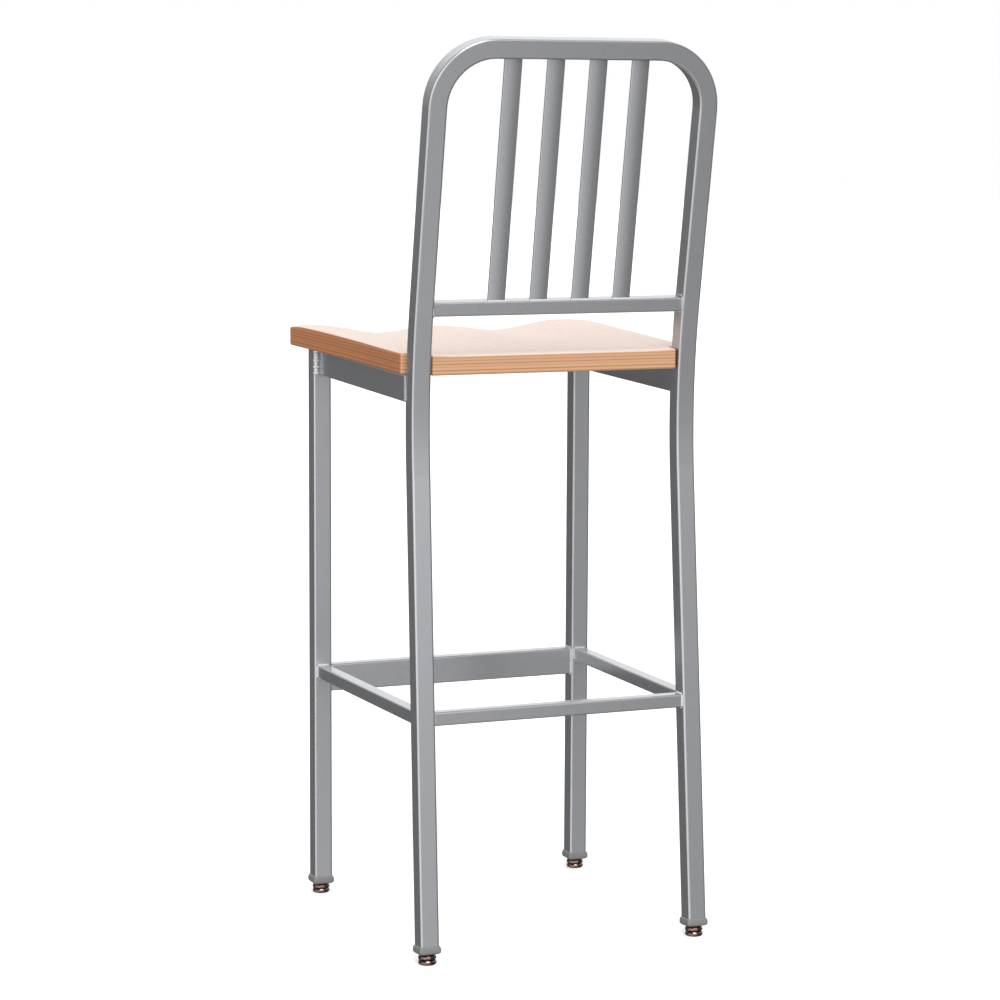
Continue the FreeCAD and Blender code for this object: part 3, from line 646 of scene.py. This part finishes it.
# Each pair says where a panel fades in, from nothing to full, along the direction it is measured in.
REAR_DEPTH, REAR_SIDE = (0.25, 0.8), (-0.52, -0.27)
REAR_ABOVE, ABOVE_GAIN = (-0.08, 0.04), 1.9
REAR_BELOW, BELOW_GAIN = (0.2, 0.42), 0.4
FRONT_EDGE, FRONT_RISE = (0.35, 0.95), (-0.1, 0.1)
SIDE_EDGE, SIDE_SLANT = (0.7, 0.95), 0.3
OVERHEAD_EDGE = (0.3, 0.9)
SUN_FROM = (0.1, 0.5, 0.86)
SUN_STRENGTH = 1.2
SUN_SOFTNESS = 30


def pale_floor():
    mesh = bpy.data.meshes.new("floor")
    corners = [(x * FLOOR_REACH, y * FLOOR_REACH, 0) for x, y in ((-1, -1), (1, -1), (1, 1), (-1, 1))]
    mesh.from_pydata(corners, [], [(0, 1, 2, 3)])
    floor = bpy.data.objects.new("floor", mesh)
    bpy.context.scene.collection.objects.link(floor)
    mesh.materials.append(mottled("floor_white", FLOOR_DARK, FLOOR_LIGHT, 3, 0.7, 0.01 * MM))
    shader = mesh.materials[0].node_tree.nodes["Principled BSDF"]
    shader.inputs["Emission Color"].default_value = (1, 1, 1, 1)
    shader.inputs["Emission Strength"].default_value = FLOOR_GLOW
    floor.visible_diffuse = False
    floor.visible_glossy = False


def surround():
    """Soft panels behind the stool, in front of it and at its side, over a dim surround."""
    world = bpy.data.worlds.new("studio")
    world.use_nodes = True
    tree = NodeTree(world.node_tree)
    background = world.node_tree.nodes["Background"]
    side, depth, up = tree.split(tree.add("ShaderNodeTexCoord", output="Generated"))
    window = 1 + step(tree, up, *REAR_ABOVE) * ABOVE_GAIN + step(tree, up * -1, *REAR_BELOW) * BELOW_GAIN
    rear_panel = step(tree, depth, *REAR_DEPTH) * step(tree, side, *REAR_SIDE) * window
    ahead = up * 0.5 - depth * 0.75 - side * 0.55
    front_panel = step(tree, ahead, *FRONT_EDGE) * step(tree, up, *FRONT_RISE)
    side_panel = step(tree, side + depth * SIDE_SLANT, *SIDE_EDGE)
    overhead = step(tree, up, *OVERHEAD_EDGE) * OVERHEAD
    panels = rear_panel * REAR_PANEL + front_panel * FRONT_PANEL + side_panel * SIDE_PANEL
    light = panels + overhead + SURROUND
    white = tree.add("ShaderNodeLightPath", output="Is Camera Ray")
    shown = light.maths("MAXIMUM", light, white)
    world.node_tree.links.new(shown.socket, background.inputs["Color"])
    bpy.context.scene.world = world


def sun(name, direction, strength, softness):
    data = bpy.data.lights.new(name, "SUN")
    data.energy = strength
    data.angle = math.radians(softness)
    lamp = bpy.data.objects.new(name, data)
    lamp.rotation_euler = Vector(direction).to_track_quat("Z", "Y").to_euler()
    bpy.context.scene.collection.objects.link(lamp)


pale_floor()
surround()
sun("main_light", SUN_FROM, SUN_STRENGTH, SUN_SOFTNESS)
bpy.context.scene.view_settings.view_transform = "Standard"

# %% Camera
CAMERA_PLACE = Vector((1.5973, 3.8309, 1.0943))
CAMERA_AZIMUTH, CAMERA_ELEVATION, CAMERA_ROLL = (math.radians(angle) for angle in (157.39, 7.20, 0.26))
LENS = 110.9


def set_camera():
    level = math.cos(CAMERA_ELEVATION)
    back = Vector((math.sin(CAMERA_AZIMUTH) * level, -math.cos(CAMERA_AZIMUTH) * level,
                   math.sin(CAMERA_ELEVATION)))
    right = (-back).cross(Vector((0, 0, 1))).normalized()
    up = right.cross(-back)
    rolled = right * math.cos(CAMERA_ROLL) + up * math.sin(CAMERA_ROLL)
    upright = up * math.cos(CAMERA_ROLL) - right * math.sin(CAMERA_ROLL)
    turn = Matrix((rolled, upright, back)).transposed().to_4x4()
    data = bpy.data.cameras.new("camera")
    data.lens = LENS
    camera = bpy.data.objects.new("camera", data)
    camera.matrix_world = Matrix.Translation(CAMERA_PLACE) @ turn
    bpy.context.scene.collection.objects.link(camera)
    bpy.context.scene.camera = camera


set_camera()
